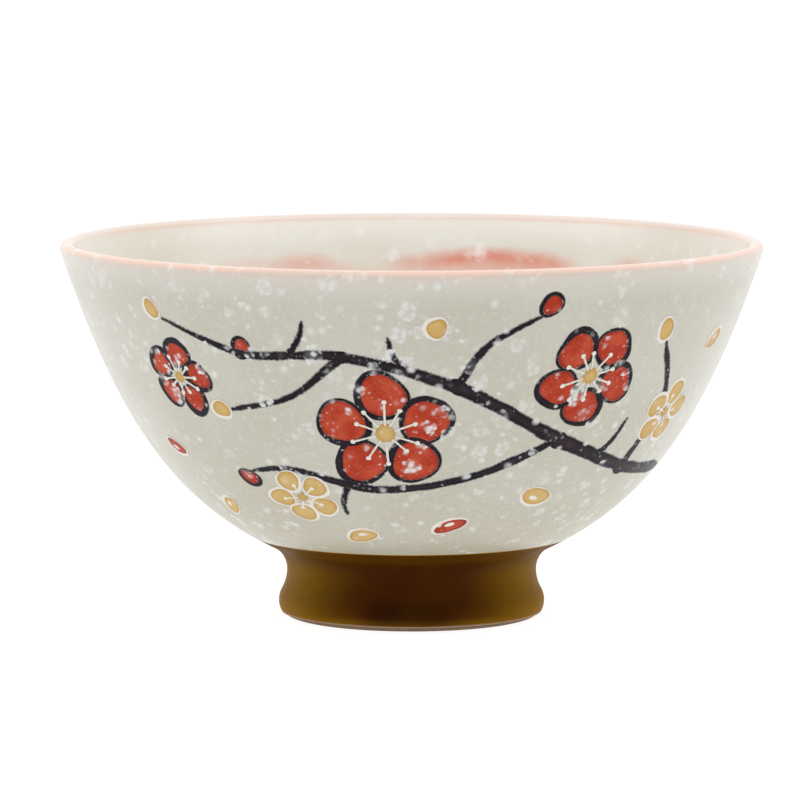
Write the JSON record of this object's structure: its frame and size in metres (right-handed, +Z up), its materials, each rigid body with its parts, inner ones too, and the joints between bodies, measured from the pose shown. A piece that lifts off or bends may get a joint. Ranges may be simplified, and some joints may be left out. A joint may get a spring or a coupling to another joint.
{
  "type": "rice bowl",
  "caption": "Open glazed stoneware rice bowl with a flared wall, rounded lip and waisted ring foot; stands on a bare clay ring and holds food.",
  "frame": {"origin": "centre of the standing ring, on the table plane", "axes": "+Z up along the axis of the bowl; -Y is the side that faces the viewer"},
  "size_m": [0.12, 0.12, 0.0645],
  "materials": {
    "clay": "unglazed stoneware, matte",
    "bowl_glaze": "pale grey glaze with white flecks, gloss",
    "well_glaze": "warm white glaze with white flecks, gloss",
    "lip_glaze": "salmon lip line, gloss",
    "brown_glaze": "dark brown iron glaze, satin gloss",
    "dark_paint": "blue-black painting",
    "red_paint": "iron red painting",
    "white_enamel": "raised white enamel",
    "ochre_enamel": "raised ochre enamel"
  },
  "bodies": {
    "root": {"bowl_body": "clay", "foot_ring": "clay", "outer_glaze": "bowl_glaze", "inner_glaze": "well_glaze", "rim_line": "lip_glaze", "foot_glaze": "brown_glaze", "recess_glaze": "brown_glaze"}
  },
  "joints": []
}
